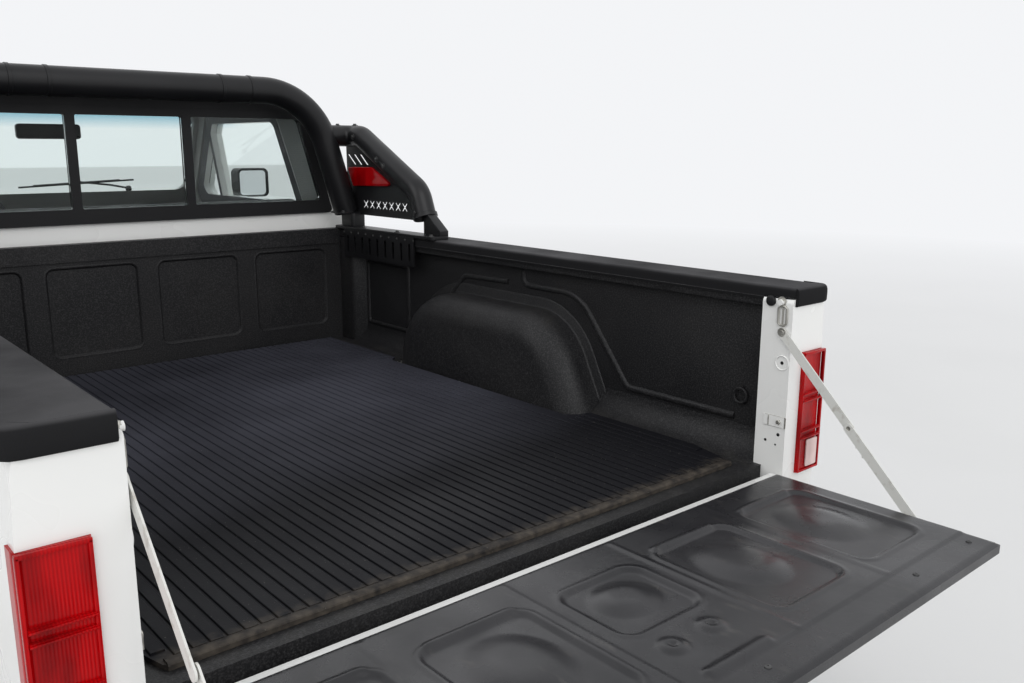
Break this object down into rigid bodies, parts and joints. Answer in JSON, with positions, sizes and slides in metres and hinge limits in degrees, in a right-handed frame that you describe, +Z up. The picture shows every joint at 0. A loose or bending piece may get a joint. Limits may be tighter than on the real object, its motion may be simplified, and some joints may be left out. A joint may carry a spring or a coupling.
{
  "type": "pickup truck",
  "caption": "White regular-cab pickup truck with its tailgate down, black-lined load bed with ribbed rubber mat, and a black tubular sports bar behind the cab.",
  "frame": {"origin": "on the ground under the middle of the box around the truck with the tailgate open", "axes": "+Y forward along the truck's length, +X to the truck's right side, +Z up"},
  "size_m": [2.036, 5.205, 1.6419],
  "materials": {
    "white_paint": "glossy white enamel",
    "bed_coating": "sprayed textured black coating",
    "black_plastic": "grained black plastic",
    "bar_coating": "satin black powder coat",
    "chassis_black": "black chassis paint",
    "bumper_metal": "black painted steel",
    "cast_iron": "cast",
    "steel_pipe": "dull steel",
    "strap_steel": "painted flat steel",
    "window_rubber": "black rubber and aluminium",
    "glass": "light tint",
    "red_lens": "ribbed red lens",
    "headlamp_glass": "clear lens",
    "mat_rubber": "ribbed black rubber",
    "seat_cloth": "woven cloth",
    "dash_plastic": "grained",
    "wheel_paint": "silver painted steel",
    "tyre": "black rubber"
  },
  "bodies": {
    "truck": {"frame": "chassis_black", "rear_axle": "chassis_black", "rear_springs": "chassis_black", "front_suspension": "chassis_black", "engine": "cast_iron", "drive_shaft": "chassis_black", "exhaust": "steel_pipe", "fuel_tank": "chassis_black", "cab_shell": "white_paint", "cab_glass": "glass", "rear_window_frame": "window_rubber", "front_fenders": "white_paint", "grille": "black_plastic", "headlamps": "headlamp_glass", "front_bumper": "bumper_metal", "rear_bumper": "bumper_metal", "bed_floor": "bed_coating", "bed_front_wall": "bed_coating", "bed_inner_sides": "bed_coating", "bed_outer_sides": "white_paint", "rail_caps": "black_plastic", "bed_mat": "mat_rubber", "rear_lamps": "red_lens", "bar_hoop": "bar_coating", "bar_sides": "bar_coating", "bar_lamps": "red_lens", "bench_seat": "seat_cloth", "dashboard": "dash_plastic", "inner_mirror": "black_plastic"},
    "hood_lid": {"hood": "white_paint"},
    "tailgate_leaf": {"tailgate": "white_paint", "tailgate_liner": "black_plastic"},
    "steering_wheel_body": {"steering_wheel": "dash_plastic"},
    "door_leaf_left": {"door_left": "white_paint", "door_glass_left": "glass", "door_mirror_left": "black_plastic"},
    "door_leaf_right": {"door_right": "white_paint", "door_glass_right": "glass", "door_mirror_right": "black_plastic"},
    "knuckle_body_left": {"knuckle_left": "cast_iron"},
    "wheel_body_front_left": {"wheel_front_left": "wheel_paint", "tyre_front_left": "tyre"},
    "wheel_body_rear_left": {"wheel_rear_left": "wheel_paint", "tyre_rear_left": "tyre"},
    "knuckle_body_right": {"knuckle_right": "cast_iron"},
    "wheel_body_front_right": {"wheel_front_right": "wheel_paint", "tyre_front_right": "tyre"},
    "wheel_body_rear_right": {"wheel_rear_right": "wheel_paint", "tyre_rear_right": "tyre"},
    "strap_top_left": {"strap_upper_left": "strap_steel"},
    "strap_foot_left": {"strap_lower_left": "strap_steel"},
    "strap_top_right": {"strap_upper_right": "strap_steel"},
    "strap_foot_right": {"strap_lower_right": "strap_steel"}
  },
  "joints": [
    {"name": "tailgate", "type": "hinge", "parent": "truck", "child": "tailgate_leaf", "pos_m": [0, -2.1075, 0.58], "axis": [-1, 0, 0], "range_deg": [0, 90]},
    {"name": "hood", "type": "hinge", "parent": "truck", "child": "hood_lid", "pos_m": [0, 1.5085, 1.0815], "axis": [1, 0, 0], "range_deg": [0, 50]},
    {"name": "door_left", "type": "hinge", "parent": "truck", "child": "door_leaf_left", "pos_m": [-0.881, 1.2965, 0.9], "axis": [0, 0, -1], "range_deg": [0, 65]},
    {"name": "door_right", "type": "hinge", "parent": "truck", "child": "door_leaf_right", "pos_m": [0.881, 1.2965, 0.9], "axis": [0, 0, 1], "range_deg": [0, 65]},
    {"name": "steer_left", "type": "hinge", "parent": "truck", "child": "knuckle_body_left", "pos_m": [-0.7, 1.8925, 0.34], "axis": [0, 0, 1], "range_deg": [-32, 32]},
    {"name": "roll_front_left", "type": "hinge", "parent": "knuckle_body_left", "child": "wheel_body_front_left", "pos_m": [-0.788, 1.8925, 0.34], "axis": [-1, 0, 0], "continuous": true},
    {"name": "roll_rear_left", "type": "hinge", "parent": "truck", "child": "wheel_body_rear_left", "pos_m": [-0.788, -0.9525, 0.34], "axis": [-1, 0, 0], "continuous": true},
    {"name": "steer_right", "type": "hinge", "parent": "truck", "child": "knuckle_body_right", "pos_m": [0.7, 1.8925, 0.34], "axis": [0, 0, 1], "range_deg": [-32, 32]},
    {"name": "roll_front_right", "type": "hinge", "parent": "knuckle_body_right", "child": "wheel_body_front_right", "pos_m": [0.788, 1.8925, 0.34], "axis": [-1, 0, 0], "continuous": true},
    {"name": "roll_rear_right", "type": "hinge", "parent": "truck", "child": "wheel_body_rear_right", "pos_m": [0.788, -0.9525, 0.34], "axis": [-1, 0, 0], "continuous": true},
    {"name": "steering_wheel", "type": "hinge", "parent": "truck", "child": "steering_wheel_body", "pos_m": [-0.365, 1.0205, 1.075], "axis": [0, -0.8984, 0.4392], "range_deg": [-480, 480]},
    {"name": "strap_upper_left", "type": "hinge", "parent": "truck", "child": "strap_top_left", "pos_m": [-0.7455, -2.0765, 0.976], "axis": [1, 0, 0], "range_deg": [0, 112.4]},
    {"name": "strap_lower_left", "type": "hinge", "parent": "tailgate_leaf", "child": "strap_foot_left", "pos_m": [-0.74, -2.43995, 0.61], "axis": [1, 0, 0], "range_deg": [0, 36.09]},
    {"name": "strap_upper_right", "type": "hinge", "parent": "truck", "child": "strap_top_right", "pos_m": [0.7455, -2.0765, 0.976], "axis": [1, 0, 0], "range_deg": [0, 112.4]},
    {"name": "strap_lower_right", "type": "hinge", "parent": "tailgate_leaf", "child": "strap_foot_right", "pos_m": [0.74, -2.43995, 0.61], "axis": [1, 0, 0], "range_deg": [0, 36.09]}
  ],
  "couplings": [
    {"joint": "steer_right", "follows": "steer_left", "ratio": 1},
    {"joint": "steering_wheel", "follows": "steer_left", "ratio": 15},
    {"joint": "strap_upper_left", "follows": "tailgate", "ratio": 1.2489},
    {"joint": "strap_lower_left", "follows": "tailgate", "ratio": 0.40099},
    {"joint": "strap_upper_right", "follows": "tailgate", "ratio": 1.2489},
    {"joint": "strap_lower_right", "follows": "tailgate", "ratio": 0.40099}
  ]
}
